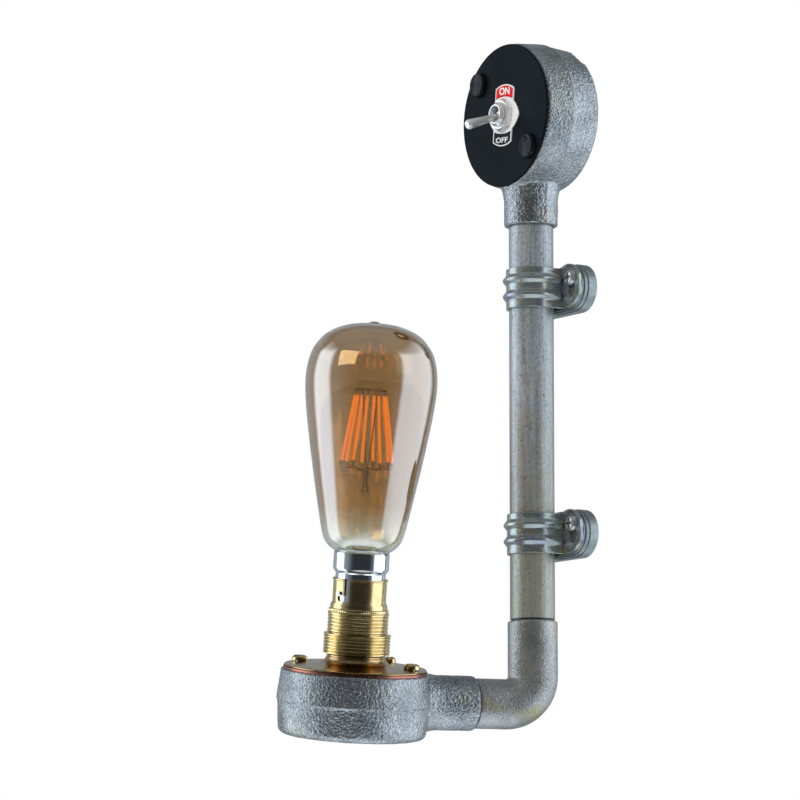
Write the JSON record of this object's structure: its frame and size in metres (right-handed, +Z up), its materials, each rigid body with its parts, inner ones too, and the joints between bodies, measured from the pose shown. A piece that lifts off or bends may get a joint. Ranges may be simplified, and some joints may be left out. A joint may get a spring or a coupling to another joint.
{
  "type": "pipe wall light",
  "caption": "Wall light of steel conduit on saddles, with a toggle-switch box above and an elbow, a lower box, a brass bayonet holder and a long bulb.",
  "frame": {"origin": "on the wall plane, on the conduit's vertical plane, midway between the two saddles' wall holes", "axes": "+Z up along the conduit, -Y out from the wall, +X to the right as seen from the room"},
  "size_m": [0.0908, 0.1331, 0.3177],
  "materials": {
    "galvanised_casting": "cast iron, hot-dip galvanised, slightly rough",
    "galvanised_tube": "galvanised steel tube and fittings, mottled",
    "zinc_plate": "zinc-plated pressed steel",
    "bright_steel": "nickel-plated steel, polished",
    "black_cover": "black, satin gloss",
    "black_cap": "black, glossy",
    "label": "printed aluminium plate, white edge, red and black panels",
    "phenolic": "brown moulded phenolic",
    "nylon": "natural nylon",
    "contact_copper": "copper alloy strip",
    "brass": "polished brass, lightly aged",
    "brass_plate": "spun brass, brushed in circles",
    "copper": "bright copper",
    "connector_plastic": "ivory polyethylene",
    "rubber": "black rubber",
    "ceramic": "glazed steatite",
    "spring_steel": "bright spring wire",
    "brown_pvc": "brown insulation",
    "blue_pvc": "blue insulation",
    "green_pvc": "green and yellow insulation",
    "amber_glass": "clear amber glass, darker at the top",
    "clear_glass": "clear glass",
    "cap_chrome": "polished nickel-plated cap",
    "cap_black": "black vitreous insulator",
    "solder": "solder, dull",
    "lead_wire": "dark nickel wire",
    "filament": "orange phosphor coating"
  },
  "bodies": {
    "wall_frame": {"switch_box": "galvanised_casting", "switch_cover": "black_cover", "cover_screws": "zinc_plate", "screw_caps": "black_cap", "switch_label": "label", "front_nut": "bright_steel", "lock_washer": "zinc_plate", "rear_nut": "zinc_plate", "switch_bushing": "bright_steel", "lever_pin": "bright_steel", "switch_body": "phenolic", "line_terminal": "brass", "load_terminal": "brass", "connector_block": "connector_plastic", "connector_screws": "brass", "cable_grommet": "rubber", "conduit_pipe": "galvanised_tube", "upper_saddle_strap": "zinc_plate", "lower_saddle_strap": "zinc_plate", "upper_saddle_base": "galvanised_casting", "lower_saddle_base": "galvanised_casting", "saddle_screws": "bright_steel", "line_link_wire": "brown_pvc", "live_wire_upper": "brown_pvc", "neutral_wire_upper": "blue_pvc", "earth_wire_upper": "green_pvc"},
    "lever": {"toggle_lever": "bright_steel", "lever_plunger": "nylon"},
    "rocker": {"contact_rocker": "contact_copper"},
    "arm": {"elbow": "galvanised_casting", "live_wire_elbow": "brown_pvc", "neutral_wire_elbow": "blue_pvc", "earth_wire_elbow": "green_pvc"},
    "lamp": {"lamp_box": "galvanised_casting", "copper_gasket": "copper", "holder_plate": "brass_plate", "plate_screws": "brass", "earth_screw": "brass", "holder_ring": "brass", "holder_barrel": "brass", "contact_block": "ceramic", "terminal_screws": "brass", "plunger_springs": "spring_steel", "live_wire_lower": "brown_pvc", "neutral_wire_lower": "blue_pvc", "earth_wire_lower": "green_pvc"},
    "shade_ring": {"shade_ring": "brass"},
    "plungers": {"contact_plungers": "brass"},
    "bulb": {"bulb_glass": "amber_glass", "bulb_cap": "cap_chrome", "cap_insulator": "cap_black", "cap_contacts": "solder", "bulb_stem": "clear_glass", "filament_leads": "lead_wire", "led_filaments": "filament"}
  },
  "joints": [
    {"name": "arm_swing", "type": "hinge", "parent": "wall_frame", "child": "arm", "pos_m": [0, -0.0175, -0.1305], "axis": [0, 0, 1], "range_deg": [-59, 91]},
    {"name": "lamp_turn", "type": "hinge", "parent": "arm", "child": "lamp", "pos_m": [0, -0.0175, -0.1305], "axis": [-0.2756, -0.9613, 0], "range_deg": [-79.5, 100.5]},
    {"name": "bulb_push", "type": "slide", "parent": "lamp", "child": "bulb", "axis": [0.1752, -0.0502, 0.9833], "range_m": [-0.002, 0], "stiffness_N_per_m": 4000, "springref_m": 0.002},
    {"name": "plunger_slide", "type": "slide", "parent": "lamp", "child": "plungers", "axis": [0.1752, -0.0502, 0.9833], "range_m": [-0.0021, 0.0001], "deforming": ["plunger_springs"]},
    {"name": "shade_ring_turn", "type": "hinge", "parent": "lamp", "child": "shade_ring", "pos_m": [-0.02288, -0.09728, -0.1305], "axis": [0.1752, -0.0502, 0.9833], "continuous": true},
    {"name": "toggle_lever", "type": "hinge", "parent": "wall_frame", "child": "lever", "pos_m": [0, -0.0329, 0.133], "axis": [1, 0, 0], "range_deg": [-38, 0]},
    {"name": "contact_rock", "type": "hinge", "parent": "wall_frame", "child": "rocker", "pos_m": [0, -0.0231, 0.133], "axis": [1, 0, 0], "range_deg": [0, 17.1]}
  ],
  "couplings": [
    {"joint": "plunger_slide", "follows": "bulb_push", "ratio": 1},
    {"joint": "contact_rock", "follows": "toggle_lever", "ratio": -0.45}
  ]
}
